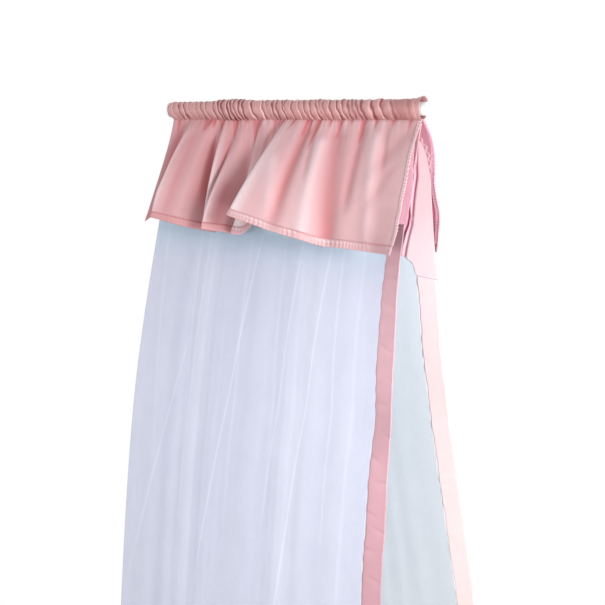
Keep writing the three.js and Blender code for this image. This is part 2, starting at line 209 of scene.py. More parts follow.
# Each row: place along the rod, depth and half width in millimetres, and the depth share where it ends.
SEAM_GATHERS = [
    [34, 3, 3, 0.16], [127, 5, 6, 0.14], [142, 3, 3, 0.1], [165, 5, 5, 0.2], [206, 5, 5, 0.2],
    [236, 2, 3, 0.06], [264, 5, 6, 0.3], [275, 3, 3, 0.1], [316, 4, 3, 0.2], [328, 3, 3, 0.16],
    [340, 3, 3, 0.16], [367, 3, 3, 0.12], [401, 4, 3, 0.16], [411, 4, 3, 0.14], [431, 4, 4, 0.28],
    [461, 2, 3, 0.1], [484, 4, 4, 0.16], [510, 2, 3, 0.08], [539, 4, 4, 0.2], [569, 2, 3, 0.1],
    [608, 2, 4, 0.1], [646, 2, 3, 0.12],
]
# Each row: depth share of the back valance's near edge, then its place beyond the casing's end and
# outwards, in millimetres.
BACK_STRIP = [
    [0, 1, 2.5], [0.115, 16, 10.5], [0.184, 20.5, 14.5], [0.262, 22.5, 19], [0.377, 22.2, 25.8],
    [0.458, 21, 30.5], [0.56, 24.5, 36.4], [0.694, 31.5, 44.2], [0.838, 28.6, 52.7], [0.942, 25.5, 58.7],
    [1, 22, 62.4],
]
# Each row of the back ribbon's pleated head: height, then the places along the rod of its left edge,
# its two creases, the start of its pink side and its right edge, in millimetres.
HEAD_ROWS = [
    [-23, 655, 660, 664, 652, 669], [-56, 640, 652, 657, 656, 684], [-74, 636, 650, 656, 669, 688],
    [-90, 632, 649, 655, 675, 688], [-112, 625, 647, 654.4, 680, 687], [-140, 620, 644, 654.5, 684, 686],
    [-170, 612, 637.5, 649.5, 690, 686], [-200, 604, 633.5, 645, 700, 687], [-228, 602, 635, 642, 700, 688],
    [-250, 605, 630, 639, 700, 689], [-273, 608, 620, 632.5, 700, 690], [-305, 605, 609, 624.5, 700, 692],
    [-340, 602, 605, 618, 700, 696], [-380, 602, 605, 618, 700, 700],
]
# Each row of the front ribbon's head: height, then the places of its left and right edges, in millimetres.
FRONT_HEAD_ROWS = [
    [-23, 640, 662], [-70, 618, 660], [-110, 612, 663], [-140, 606, 667], [-170, 604, 670], [-200, 604, 668],
    [-232, 606, 666],
]
# Each row: share across the head and its length there in millimetres.
HEAD_LENGTHS = [[0, 297], [0.18, 302], [0.4, 316], [0.48, 345], [1, 350]]
# Each row: place along the rod and the casing's mean radius there, in millimetres.
CASING_SWELL = [
    [0, 18.2], [40, 18.6], [110, 18.9], [160, 20.8], [195, 23.4], [235, 21.4], [280, 19.6], [320, 20.6],
    [360, 19.6], [420, 20.4], [480, 19.4], [560, 19.4], [620, 19.8], [669, 20.6],
]
# Each row: place at the seam and at the hem as shares of the cloth, depth in millimetres
# (outwards above zero), half width as a share, and the depth shares between which it shows.
FRONT_SOFT_FOLDS = [
    [0.085, 0.05, -2.5, 0.012, 0.1, 0.8],
    [0.533, 0.45, -4.0, 0.008, 0.0, 0.55],
    [0.62, 0.74, 3.0, 0.02, 0.3, 1.1],
    [0.716, 0.731, -9.0, 0.016, 0.0, 1.1],
    [0.735, 0.8, -3.0, 0.009, 0.0, 0.6],
    [0.777, 0.793, 5.0, 0.018, 0.1, 1.3],
    [0.81, 0.85, -7.0, 0.024, 0.02, 1.3],
    [0.868, 0.876, -6.0, 0.011, 0.0, 0.8],
    [0.903, 0.935, 4.0, 0.014, 0.05, 1.1],
    [0.927, 0.955, -3.0, 0.008, 0.0, 0.5],
    [0.995, 0.8, -2.6, 0.02, 0.0, 0.5],
    [1.0, 0.88, -2.2, 0.014, 0.3, 0.8],
]
# As the soft folds, but for shade alone: parts of the far folds that lie deep between their neighbours.
FRONT_SHADES = [
    [0.19, 0.17, -0.4, 0.03, 0.15, 0.9], [0.36, 0.35, -0.3, 0.022, 0.5, 1.3],
    [0.488, 0.465, -0.45, 0.02, 0.0, 0.7],
]
# Depth shares of the cross creases in the front ribbon, painted on it as light and shade.
RIBBON_CREASES = [
    0.202, 0.222, 0.236, 0.278, 0.294, 0.331, 0.369, 0.407, 0.447, 0.474, 0.521, 0.537, 0.568, 0.607,
    0.66, 0.7, 0.75, 0.81, 0.86, 0.93,
]
# Each row: place at the top and at the bottom as shares of the net's width, strength, half width as a
# share, and the depth shares between which the line shows. The lines are painted highlights of small folds.
NET_LINES = [
    [0.03, 0.2, 0.3, 0.004, 0.08, 0.6], [0.21, 0.29, 0.4, 0.003, 0.1, 0.6],
    [0.275, 0.235, 0.3, 0.005, 0.1, 0.8], [0.39, -0.11, 0.6, 0.003, 0.28, 0.8],
    [0.46, 0.44, 0.3, 0.006, 0.12, 0.7], [0.55, 0.24, 0.7, 0.003, 0.1, 0.8],
    [0.6, 0.63, 0.25, 0.005, 0.12, 0.7], [0.705, 0.53, 0.5, 0.003, 0.1, 0.7],
    [0.83, 0.61, 0.6, 0.003, 0.1, 0.9], [0.842, 0.838, 0.4, 0.004, 0.1, 0.7],
    [0.93, 0.9, 0.25, 0.005, 0.1, 1.2],
]
# As the net's lines, for its broad soft bands of painted shade and painted light.
NET_BANDS = [
    [0.2, 0.16, -0.5, 0.05, 0.05, 1.2], [0.4, 0.36, -0.7, 0.05, 0.05, 0.8],
    [0.5, 0.49, -0.6, 0.02, 0.08, 0.7], [0.62, 0.58, -0.3, 0.03, 0.1, 1.2],
    [0.75, 0.7, 0.6, 0.07, 0.05, 1.3], [0.3, 0.28, 0.3, 0.03, 0.1, 1.2], [0.9, 0.9, 0.4, 0.03, 0.1, 1.2],
]


def smooth(share):
    """Rises softly from 0 to 1 as share does."""
    share = np.clip(share, 0, 1)
    return share * share * (3 - 2 * share)


def spline(rows, share):
    """A centripetal Catmull-Rom curve through rows, at shares from 0 to 1, one row per step."""
    rows = np.asarray(rows, float)
    padded = np.vstack([2 * rows[0] - rows[1], rows, 2 * rows[-1] - rows[-2]])
    steps = np.maximum(np.sqrt(np.linalg.norm(np.diff(padded, axis=0), axis=1)), 1e-4)
    place = np.clip(share, 0, 1) * (len(rows) - 1)
    i = np.minimum(place.astype(int), len(rows) - 2)
    w = (place - i)[:, None]
    a, b, c, d = (padded[i + k] for k in range(4))
    before, here, after = (steps[i + k][:, None] for k in range(3))
    leave = ((b - a) / before - (c - a) / (before + here) + (c - b) / here) * here
    reach = ((c - b) / here - (d - b) / (here + after) + (d - c) / after) * here
    return b + w * (leave + w * (3 * (c - b) - 2 * leave - reach + w * (2 * (b - c) + leave + reach)))


def between(rows, share):
    """Smooth values between the rows of a table whose first column rises from 0 to 1."""
    rows = np.asarray(rows, float)
    x, y = rows[:, 0], rows[:, 1:]
    slopes = np.empty_like(y)
    slopes[1:-1] = (y[2:] - y[:-2]) / (x[2:] - x[:-2])[:, None]
    slopes[0] = (y[1] - y[0]) / (x[1] - x[0])
    slopes[-1] = (y[-1] - y[-2]) / (x[-1] - x[-2])
    i = np.clip(np.searchsorted(x, share, side="right") - 1, 0, len(x) - 2)
    width = (x[i + 1] - x[i])[:, None]
    t = (share - x[i])[:, None] / width
    return (
        y[i] * (1 + 2 * t) * (1 - t) ** 2
        + y[i + 1] * t * t * (3 - 2 * t)
        + width * (slopes[i] * t * (1 - t) ** 2 - slopes[i + 1] * t * t * (1 - t))
    )


def bell(offset, width):
    """1 at no offset, falling softly towards 0 beyond the width."""
    return np.exp(-((offset / width) ** 2))


def softly_above(value, floor, blend):
    """The larger of two values, with a soft change from one to the other."""
    return (value + floor + np.sqrt((value - floor) ** 2 + blend ** 2)) / 2 - blend / 4


def columns(*parts):
    """Coordinates side by side, one row per point."""
    return np.stack(np.broadcast_arrays(*parts), axis=1)


def unit(vectors):
    """The vectors at a length of 1."""
    return vectors / np.maximum(np.linalg.norm(vectors, axis=1), 1e-9)[:, None]


def outward(place, u, v):
    """Unit normals of the surface place(u, v), on its outer side."""
    along = place(np.minimum(u + NUDGE, 1), v) - place(np.maximum(u - NUDGE, 0), v)
    down = place(u, np.minimum(v + NUDGE, 1)) - place(u, np.maximum(v - NUDGE, 0))
    return unit(np.cross(down, along))


def soft_folds(rows, u, v):
    """Sum of a table's soft folds at shares of the cloth, in metres outwards."""
    push = np.zeros_like(u)
    for top, low, depth, width, start, end in rows:
        middle = top + (low - top) * v
        shown = smooth((v - start) / 0.12) * smooth((end - v) / 0.25)
        push += depth * MM * shown * bell(u - middle, width)
    return push


# Surfaces of the cloth pieces

CREASE_PLACES = np.array([0.0] + [place * MM for place, _ in CREASES] + [CASING_END + 8 * MM])
CREASE_HEIGHTS = np.array([CREASES[0][1]] + [height for _, height in CREASES] + [CREASES[-1][1]]) * MM


def crease_shares(along):
    """Which ruffle a place along the rod is on, and how far along that ruffle, from 0 to 1."""
    i = np.clip(np.searchsorted(CREASE_PLACES, along, side="right") - 1, 0, len(CREASE_PLACES) - 2)
    return i, np.clip((along - CREASE_PLACES[i]) / (CREASE_PLACES[i + 1] - CREASE_PLACES[i]), 0, 1)


def ruffle(along, sharp=0.88):
    """Height of the gathers at places along the rod: a slow rise towards +X, then a steep fall."""
    i, t = crease_shares(along)
    rise = 0.25 + 0.75 * (t / sharp) ** 1.2 - 0.25 * np.exp(-t / 0.05)
    fall = np.clip((1 - t) / (1 - sharp), 0, 1) ** 0.7
    return CREASE_HEIGHTS[i + 1] * (np.where(t < sharp, rise, fall) - 0.4)


def rim_and_groove(along):
    """Painted highlights on the ruffles' rims and painted shade in the grooves behind them, from 1 to -1."""
    i, _ = crease_shares(along)
    wide = RIM_WIDTH * (1 + 0.9 * smooth((along - WIDE_RIMS_START) / WIDE_RIMS_REACH))
    strength = np.clip((CREASE_HEIGHTS[i + 1] / MM - 0.9) / 2, 0.12, 1)
    after = along - CREASE_PLACES[i]
    before = CREASE_PLACES[i + 1] - along
    rim = bell(before - 2.0 * wide, 1.2 * wide)
    groove = bell(before, wide) + 0.8 * np.exp(-(after / (2.2 * wide)) ** 1.5)
    return strength * (rim - 1.9 * groove)


def crease_line(along, angle):
    """Place along the rod where a point's crease would cross the middle of the casing's side."""
    ends = smooth((along - CASING_START) / (20 * MM)) * smooth((CASING_END - along) / (25 * MM))
    broad = 1.5 * MM * np.sin(along / (7.3 * MM) + 2 * angle)
    fine = 1.0 * MM * np.sin(along / (3.1 * MM) - 3 * angle)
    return along + (CASING_LEAN * np.cos(angle) + (broad + fine)) * ends


# Shares of the casing's mesh along the rod: steep ruffles get more of it.
CASING_STEPS = np.linspace(CASING_START, CASING_END, 4001)
steepness = np.abs(np.gradient(ruffle(CASING_STEPS), CASING_STEPS)).clip(0, 2)
casing_weight = 0.35 * MM + steepness * 0.5 * MM
casing_weight = np.convolve(np.pad(casing_weight, 40, mode="edge"), np.ones(81) / 81, mode="valid")
CASING_SHARES = np.concatenate([[0], np.cumsum(casing_weight)[1:]]) / casing_weight[1:].sum()
CASING_SHARES = (CASING_SHARES - CASING_SHARES[0]) / (CASING_SHARES[-1] - CASING_SHARES[0])


def casing_place(u, v):
    """u along the rod, v from the back seam over the top to the front seam."""
    angle = math.pi * (1 - 2 * v)
    along = np.interp(u, CASING_SHARES, CASING_STEPS)
    swell = np.interp(along, *([row[k] * MM for row in CASING_SWELL] for k in (0, 1)))
    mouth = np.clip(1 - (CASING_END - along) / MOUTH_LENGTH, 0, 1) ** 2
    pinch = np.clip((np.abs(angle) - PINCH_ANGLE) / (math.pi - PINCH_ANGLE), 0, 1)
    gathers = ruffle(crease_line(along, angle))
    uneven = 1 + 0.35 * np.sin(along / (11 * MM) + 1.7 * angle)
    radius = swell + 1.4 * gathers * uneven * (1 - 0.3 * pinch)
    radius = radius + MOUTH_FLARE * mouth * np.clip(np.cos(angle), -0.2, 1)
    shoulder = bell(np.abs(angle) - SHOULDER_ANGLE, SHOULDER_REACH)
    radius = radius + np.clip(1.2 * gathers, -1 * MM, 2 * MM) * shoulder
    drawn = pinch ** (2.4 + 700 * np.clip(gathers, -1.5 * MM, 2 * MM))
    radius = radius * (1 - drawn) - SEAM_BOTTOM * drawn
    y = radius * np.sin(angle)
    side = np.where(angle < 0, -1.0, 1.0)
    y = side * np.maximum(np.abs(y), SEAM_HALF)
    sideways = np.sin(angle)
    reach = mouth * (MOUTH_SLANT * np.clip(sideways, 0, 1) - MOUTH_HOLLOW * np.clip(-sideways, 0, 1))
    far_end = np.clip(1 - (along - CASING_START) / FAR_LIP_LENGTH, 0, 1) ** 2
    lip = FAR_LIP * far_end * np.clip(-sideways, 0, 1)
    return columns(along + reach - lip, y, radius * np.cos(angle))


def casing_push(u, v):
    """Painted highlights on the ruffles' rims and painted shade in their grooves, darker along one band, for
    the depth of colour.
    """
    along = np.interp(u, CASING_SHARES, CASING_STEPS)
    angle = math.pi * (1 - 2 * v)
    dull = 0.45 * smooth((along - DARKER_BAND_START) / 0.06) * (1 - smooth((along - DARKER_BAND_END) / 0.02))
    return np.clip(rim_and_groove(crease_line(along, angle)) - dull, -1, 1)


front_rows = np.array(FRONT_FOLDS)
FRONT_TOPS = np.stack([
    CASING_START + front_rows[:, 0] * CASING_LENGTH,
    np.full(len(front_rows), -VALANCE_INSET),
    np.full(len(front_rows), VALANCE_TOP),
], axis=1)
FRONT_HEMS = np.stack([
    CASING_START + front_rows[:, 1] * CASING_LENGTH,
    -front_rows[:, 2] * VALANCE_FLARE,
    VALANCE_TOP - front_rows[:, 3] * VALANCE_DROP,
], axis=1)
FRONT_BOWS = np.stack([front_rows[:, 4], front_rows[:, 5], np.zeros(len(front_rows))], axis=1)
# Shares of the hem's run, so that u is spread evenly along the hem.
hem_steps = np.linspace(0, 1, 2001)
hem_run = np.linalg.norm(np.diff(spline(FRONT_HEMS, hem_steps), axis=0), axis=1)
hem_shares = np.concatenate([[0], np.cumsum(hem_run)]) / hem_run.sum()


def bowed(top, hem, bow, v, skew=0.0):
    """Points from the top to the hem at depths v, swelled outwards by a bow."""
    swing = v + v * (1 - v) * (bow + skew * (1 - 2 * v))
    return columns(
        top[:, 0] + (hem[:, 0] - top[:, 0]) * v,
        top[:, 1] + (hem[:, 1] - top[:, 1]) * swing,
        top[:, 2] + (hem[:, 2] - top[:, 2]) * v,
    )


def front_base(u, v):
    """u along the cloth from the far end, v down it."""
    step = np.interp(u, hem_shares, hem_steps)
    bows = spline(FRONT_BOWS, step)
    points = bowed(spline(FRONT_TOPS, step), spline(FRONT_HEMS, step), bows[:, 0], v, bows[:, 1])
    clear = VALANCE_INSET + NET_SLOPE * np.clip(CURTAIN_TOP - points[:, 2], 0, None)
    points[:, 1] = -softly_above(-points[:, 1], clear, 5 * MM)
    return points


def seam_creases(seat, v):
    """Depth of the sharp gathers right under the seam, for cloth that starts at seat along the rod."""
    depth = np.zeros_like(seat)
    for place, deep, width, end in SEAM_GATHERS:
        left = np.clip(1 - v / end, 0, 1)
        spread = width * MM * (0.5 + 0.9 * left)
        depth += deep * MM * left * bell(seat - place * MM, spread)
    return depth


def hung_ruffle(seat, v):
    """The casing's ruffle over a place along the rod, softer and leaning, at depth v of a valance."""
    return ruffle(seat - CASING_LEAN - GATHER_LEAN * v, GATHER_SHARP)


def front_gathers(u, v):
    """Height of the fine ruffles and depth of the sharp gathers under the front seam."""
    step = np.interp(u, hem_shares, hem_steps)
    seat = spline(FRONT_TOPS, step)[:, 0]
    fine = hung_ruffle(seat, v) * np.exp(-v / 0.12)
    return 0.9 * fine, seam_creases(seat, v)


def front_push(u, v):
    """How far folds and gathers stand out of the front valance's base."""
    fine, creases = front_gathers(u, v)
    puff = SEAM_PUFF * np.exp(-v / 0.14)
    waves = np.sin(26 * v + 34 * (1 - u) + 1.5 * np.sin(9 * v))
    pulls = waves * bell(1 - u, 0.07) * smooth(v / 0.2)
    gathers = (fine - creases + puff) * smooth(v / 0.025)
    return soft_folds(FRONT_SOFT_FOLDS, u, v) + gathers + 1.3 * MM * pulls


def front_hollows(u, v):
    """Tone of the front valance: painted shade from -1 in its hollows, over its far folds and in the gathers
    under the seam, and painted light up to 1 on what stands out.
    """
    here = front_base(u, v)[:, 1]
    steps = (-1.0, -0.5, 0.5, 1.0)
    around = sum(front_base(np.clip(u + step * HOLLOW_REACH, 0, 1), v)[:, 1] for step in steps) / 4
    fine, creases = front_gathers(u, v)
    # Painted shade over the far folds, which lie in the shade of the nearer ones.
    left = 1 - smooth((u - 0.35) / 0.12)
    shade = soft_folds(FRONT_SOFT_FOLDS, u, v) / (10 * MM) + soft_folds(FRONT_SHADES, u, v) / MM
    tone = (around - here) / HOLLOW_DEPTH * (1 - 0.5 * left) + shade - 0.5 * left
    tone = np.where(tone < 0, -np.abs(tone) ** 1.3, tone)
    # Painted light on the fine gathers and painted shade in the sharp gathers under the seam.
    return np.clip(tone + fine / (5 * MM) - creases / (1.3 * MM), -1, 1)


def front_place(u, v):
    return front_base(u, v) + outward(front_base, u, v) * front_push(u, v)[:, None]


def back_base(u, v):
    """u along the cloth from the near end, v down it."""
    away = np.sqrt(u)
    wave = np.sin(2 * math.pi * BACK_WAVES * u) * np.sqrt(np.sin(math.pi * np.clip(u, 0, 1)))
    calm = BACK_NEAR_FLARE + (BACK_FLARE - BACK_NEAR_FLARE) * away
    top = columns(CASING_END - u * CASING_LENGTH, VALANCE_INSET, VALANCE_TOP)
    hem = columns(top[:, 0] + BACK_SWING * (1 - u) ** 2, calm + BACK_WAVE * wave, VALANCE_TOP - BACK_DROP)
    points = bowed(top, hem, NEAR_FOLD_BEND + (FAR_FOLD_BEND - NEAR_FOLD_BEND) * away, v)
    edge = between(BACK_STRIP, v) * MM
    start = bowed(
        columns(CASING_END + 0 * u, VALANCE_INSET, VALANCE_TOP),
        columns(CASING_END + BACK_SWING + 0 * u, BACK_NEAR_FLARE, VALANCE_TOP - BACK_DROP), NEAR_FOLD_BEND, v,
    )
    points[:, 0] += (CASING_END + edge[:, 0] - start[:, 0]) * np.clip(1 - u / 0.12, 0, 1) ** 2
    drawn = np.clip(1 - u / 0.3, 0, 1) ** 2
    curl = BACK_CURL * smooth(u / 0.02) * smooth(v / 0.15) * drawn
    points[:, 1] += (edge[:, 1] - start[:, 1]) * drawn - curl
    return points


def back_push(u, v):
    """How far the gathers stand out of the back valance's base."""
    seat = CASING_END - u * CASING_LENGTH
    return 1.3 * hung_ruffle(seat, v) * np.exp(-v / 0.17) * smooth(v / 0.02)


def back_place(u, v):
    return back_base(u, v) + outward(back_base, u, v) * back_push(u, v)[:, None]


def puckers(run):
    """Uneven gathers along a stitched hem, from 0 to 1, at lengths along it."""
    phase = 2 * math.pi * run / PUCKER_PERIOD + 2.6 * np.sin(run / (13.1 * MM))
    phase = phase + 2.2 * np.sin(run / (29 * MM) + 1)
    uneven = 0.5 + 0.5 * np.sin(run / (17 * MM) + 2 * np.sin(run / (41 * MM)))
    return (0.5 + 0.5 * np.sin(phase)) * uneven


def hem_along(place, spot, length, width, bulge, scallop=0.5 * MM):
    """A doubled hem round an edge of the cloth place(u, v), with a scalloped edge.

    spot(a, b) gives u and v at a share a of the edge's length and b inwards from the edge."""
    def hem(a, w):
        turn = np.clip((w - 0.45) / 0.1, 0, 1) * math.pi
        inwards = width * np.clip(np.where(w < 0.5, 1 - w / 0.45, (w - 0.55) / 0.45), 0, 1)
        u, v = spot(a, inwards)
        further_u, further_v = spot(a, inwards + 2 * MM)
        point = place(u, v)
        edgewards = unit(point - place(further_u, further_v))
        gathered = puckers(a * length) * smooth((width - inwards) / (0.5 * width))
        lift = (HEM_LIFT + bulge(a) * gathered) * np.cos(turn)
        reach = HEM_LIFT * np.sin(turn) + scallop * gathered
        return point + outward(place, u, v) * lift[:, None] + edgewards * reach[:, None]

    return hem


def hem_tone(length, level):
    """Painted highlights on the puckers and painted shade where the stitching pulls the cloth in, from 1 to
    -1, over the hem's own level of painted light and shade.
    """
    def tone(a, w):
        across = np.minimum(w, 1 - w) / 0.45
        stitched = bell(across - 0.14, 0.12) * (1 - 0.8 * puckers(a * length + 3 * MM))
        pucker_highlights = bell(across - 0.3, 0.13) * puckers(a * length)
        clear = np.clip(1 + 1.4 * level(a), 0.3, 1)
        return np.clip(level(a) + 1.2 * clear * pucker_highlights - 0.6 * stitched, -1, 1)

    return tone


def edge_place(rows, start, end_flare, side, v):
    """An edge of a curtain at depths v, from its table of spread and end flare."""
    shares = between(rows, v)
    spread = shares[:, 0] * CURTAIN_HALF_SPREAD
    return columns(
        start + shares[:, 1] * end_flare,
        side * np.maximum(CURTAIN_INSET, spread),
        CURTAIN_TOP - v * CURTAIN_LENGTH,
    )


def curtain_edges(side, v):
    """The far edge, the seam to the ribbon and the near edge of one curtain, at depths v."""
    rows, flare = (FRONT_NEAR_EDGE, FRONT_END_FLARE) if side < 0 else (BACK_NEAR_EDGE, BACK_END_FLARE)
    near = edge_place(rows, CASING_END, flare, side, v)
    far = edge_place(FAR_EDGE, CASING_START, -FAR_END_FLARE, side, v)
    if side < 0:
        turn = FRONT_RIBBON_TURN * (v / RIBBON_TURN_PEAK) * np.exp(1 - v / RIBBON_TURN_PEAK)
        turn = turn + FRONT_RIBBON_TWIST * bell(v - RIBBON_TWIST_PLACE, RIBBON_TWIST_REACH)
    else:
        turn = -BACK_RIBBON_TURN * v * v * (3 - 2 * v)
    towards = unit(far - near)
    turned = columns(
        towards[:, 0] * np.cos(turn) + towards[:, 1] * np.sin(turn),
        towards[:, 1] * np.cos(turn) - towards[:, 0] * np.sin(turn),
        towards[:, 2],
    )
    return far, near + RIBBON_WIDTH * turned, near


def net_pleats(side, u, v):
    """How far the net stands out of its calm surface, at shares of its width and depth."""
    drift = 0.35 * np.sin(2 * math.pi * (u + 0.1 * side)) + 0.2 * np.sin(2 * math.pi * (2.3 * u + 0.4))
    broad = np.sin(2 * math.pi * (9 * u + drift))
    fine = 0.12 * np.sin(2 * math.pi * (23 * u + 0.8 * np.sin(2 * math.pi * 3 * u) + 0.3 * side))
    calm = np.sqrt(np.clip(np.sin(math.pi * np.clip(u, 0, 1)), 0, 1))
    depth = PLEAT_DEPTH / 2 * (2 * v - v * v)
    pleats = 0.12 * broad + 0.16 * fine * (1 - 0.6 * v)
    return depth * calm * pleats * (1 if side < 0 else BACK_PLEAT_SHARE)


def net_tone(side, u, v):
    """Painted highlights of thin folds and broad soft bands of painted shade and light on the net, with
    painted light at its top and over all of the back net, from -1 to 1.
    """
    if side > 0:
        u = 0.9 * u + 0.06
    tone = soft_folds(NET_LINES, u, v) + 0.35 * soft_folds(NET_BANDS, u, v)
    painted_light = 1 - smooth((v - 0.12) / 0.08) + (1 if side > 0 else 0)
    return np.clip(tone / MM + painted_light, -1, 1)


def net_place(side):
    """The surface of one net, between its far edge and its seam to the ribbon."""
    def place(u, v):
        far, seam, _ = curtain_edges(side, v)
        reach = np.linalg.norm(seam - far, axis=1)
        if side > 0:
            u = 1 - u
        share = u * (1 - NET_GAP / reach)
        point = far + (seam - far) * share[:, None]
        point[:, 1] += net_pleats(side, u, v)
        return point

    return place


def ribbon_place(side):
    """The surface of one ribbon, between its seam to the net and the near edge."""
    def place(u, v):
        _, seam, near = curtain_edges(side, v)
        if side > 0:
            u = 1 - u
        down = v * CURTAIN_LENGTH
        wander = 0.9 * np.sin(down / (31 * MM)) + 0.6 * np.sin(down / (12.3 * MM) + 1)
        edge = np.abs(2 * u - 1) * smooth(v / 0.08)
        share = u + 0.018 * wander * edge
        point = seam + (near - seam) * share[:, None]
        ripple = np.sin(down / (6.6 * MM) + 1.2 * np.sin(down / (47 * MM)) + 2.2 * u)
        point[:, 1] += side * 0.7 * MM * ripple * (0.35 + 0.65 * (1 - u) ** 2) * smooth(v / 0.05)
        return point

    return place


def front_ribbon_tone(u, v):
    """Painted light under the valance and painted shade further down, with painted highlights and shade along
    the cross creases, from 1 to -1.
    """
    stitches = bell(np.abs(2 * u - 1) - 0.8, 0.08)
    tone = 0.9 - 1.7 * smooth((v - 0.14) / 0.52) - 0.25 * stitches
    for i, place in enumerate(RIBBON_CREASES):
        across = v - place - (0.008 if i % 3 else -0.004) * (u - 0.5)
        strength = 0.45 * np.sin(2.4 * u + 1.7 * i) ** 2
        tone += strength * (0.5 * bell(across - 0.005, 0.005) - bell(across, 0.0022))
    return np.clip(tone, -1, 1)


def back_ribbon_tone(u, v):
    """Painted light near the top, where the ribbon turns from the light."""
    return 1 - smooth((v - 0.15) / 0.25)


def head_place(u, v):
    """The pleated head of the back ribbon, u from its left edge, v down it."""
    z = HEAD_ROWS[0][0] * MM - v * np.interp(u, *zip(*HEAD_LENGTHS)) * MM
    left, first, second, _, right = head_lines(z)
    x = left + (right - left) * u
    depth = (CURTAIN_TOP - z) / CURTAIN_LENGTH
    out = CURTAIN_HALF_SPREAD * between(BACK_NEAR_EDGE, depth)[:, 0]
    lift = HEAD_GAP + (HEAD_LOW_GAP - HEAD_GAP) * smooth(v)
    y = np.maximum(out - lift, 0.15 * out)
    pleats = HEAD_PLEAT * smooth((CURTAIN_TOP - z) / (60 * MM))
    creased = bell(x - first, 3 * MM) + bell(x - second, 3 * MM)
    raised = bell(x - (first + second) / 2, 3 * MM) + 0.6 * smooth((first - x) / (9 * MM))
    return columns(x, y + pleats * (creased - raised), z)


def head_lines(z):
    """The five places along the rod that HEAD_ROWS gives, at heights z."""
    rows = np.array(HEAD_ROWS[::-1]) * MM
    return [np.interp(z, rows[:, 0], rows[:, k]) for k in range(1, 6)]


def head_tone(u, v):
    """Painted shade in the creases, between them and to their left, the pink side, and painted light on the
    lower end of the head, from 1 to -1.
    """
    point = head_place(u, v)
    x, z = point[:, 0], point[:, 2]
    _, first, second, pink, _ = head_lines(z)
    shown = smooth((-z - 85 * MM) / (40 * MM))
    creased = bell(x - first, 2.4 * MM) + bell(x - second, 2.4 * MM)
    scallop = x - pink - (6 + 2.5 * np.sin(z / (2.6 * MM))) * MM
    side = smooth((x - pink) / (2 * MM)) * (0.7 - 0.7 * bell(scallop, 1.6 * MM))
    ridge = 0.25 * shown * smooth((x - first) / (2 * MM)) * smooth((second - x) / (2 * MM))
    lit_lower_end = smooth((v - 0.5) / 0.4) * smooth((x - second) / (4 * MM))
    return np.clip(lit_lower_end - shown * creased - ridge - 0.45 * smooth((first - x) / (2 * MM)) - side, -1, 1)


def front_head_place(u, v):
    """The turned-over head of the front ribbon, in front of it."""
    z = (FRONT_HEAD_ROWS[0][0] + v * (FRONT_HEAD_ROWS[-1][0] - FRONT_HEAD_ROWS[0][0])) * MM
    rows = np.array(FRONT_HEAD_ROWS[::-1]) * MM
    left, right = (np.interp(z, rows[:, 0], rows[:, k]) for k in (1, 2))
    depth = (CURTAIN_TOP - z) / CURTAIN_LENGTH
    out = CURTAIN_HALF_SPREAD * between(FRONT_NEAR_EDGE, depth)[:, 0]
    folds = 1.5 * MM * np.sin(9 * u + 2 * v) * smooth(v / 0.2)
    return columns(left + (right - left) * u, -out - HEAD_GAP * smooth(v / 0.15) - folds, z)


# Making of meshes

def linked(name, data):
    """A new object in the scene."""
    thing = bpy.data.objects.new(name, data)
    bpy.context.scene.collection.objects.link(thing)
    return thing


def finished(name, bm, materials, body="root"):
    """An object made of the bmesh, smooth, with its materials and on its body."""
    mesh = bpy.data.meshes.new(name)
    bm.to_mesh(mesh)
    bm.free()
    mesh.polygons.foreach_set("use_smooth", [True] * len(mesh.polygons))
    piece = linked(name, mesh)
    for material in materials:
        mesh.materials.append(material)
    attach(piece, body)
    return piece


def cloth(name, place, across, down, flat, thickness, materials, push=None, offset=0.0):
    """A sheet of across by down faces on the surface place(u, v), thickened about it."""
    bm = bmesh.new()
    flat_map = bm.loops.layers.uv.new("flat")
    bmesh.ops.create_grid(bm, x_segments=across, y_segments=down, size=0.5, calc_uvs=True)
    u = np.array([vert.co.x for vert in bm.verts]) + 0.5
    v = 0.5 - np.array([vert.co.y for vert in bm.verts])
    points = place(u, v)
    # The fold attribute holds each cloth's tone from -1 to 1: mostly painted shade and painted light, and the
    # back ribbon head's pink side.
    fold = bm.verts.layers.float.new("fold")
    level = push(u, v) if push else np.zeros_like(u)
    top = max(float(np.abs(level).max()), 1e-6)
    for vert, point, height in zip(bm.verts, points, level):
        vert.co = point
        vert[fold] = height / top
    for face in bm.faces:
        for loop in face.loops:
            share = loop[flat_map].uv
            loop[flat_map].uv = (share.x * flat[0], share.y * flat[1])
    piece = finished(name, bm, materials)
    thicken(piece, thickness, offset, len(materials) > 1)
    return piece


def thicken(piece, thickness, offset=0.0, two_sided=False):
    """Gives a sheet its thickness, and its second material on the back if it is two-sided."""
    solid = piece.modifiers.new("thickness", "SOLIDIFY")
    solid.thickness = thickness
    solid.offset = offset
    solid.use_rim = True
    if two_sided:
        solid.material_offset = 1


# Materials

def new_group(name, inputs, outputs):
    group = bpy.data.node_groups.new(name, "ShaderNodeTree")
    for label, kind, value in inputs:
        socket = group.interface.new_socket(label, in_out="INPUT", socket_type=kind)
        if value is not None:
            socket.default_value = value
    for label, kind in outputs:
        group.interface.new_socket(label, in_out="OUTPUT", socket_type=kind)
    return group, group.nodes.new("NodeGroupInput"), group.nodes.new("NodeGroupOutput")


def preset(node, values):
    """Sets inputs of a node by their names."""
    for name, value in values.items():
        node.inputs[name].default_value = value


def feed(tree, socket, value):
    """Links a socket to the value if that is a socket too, and otherwise sets it."""
    if isinstance(value, bpy.types.NodeSocket):
        tree.links.new(value, socket)
    elif value is not None:
        socket.default_value = value


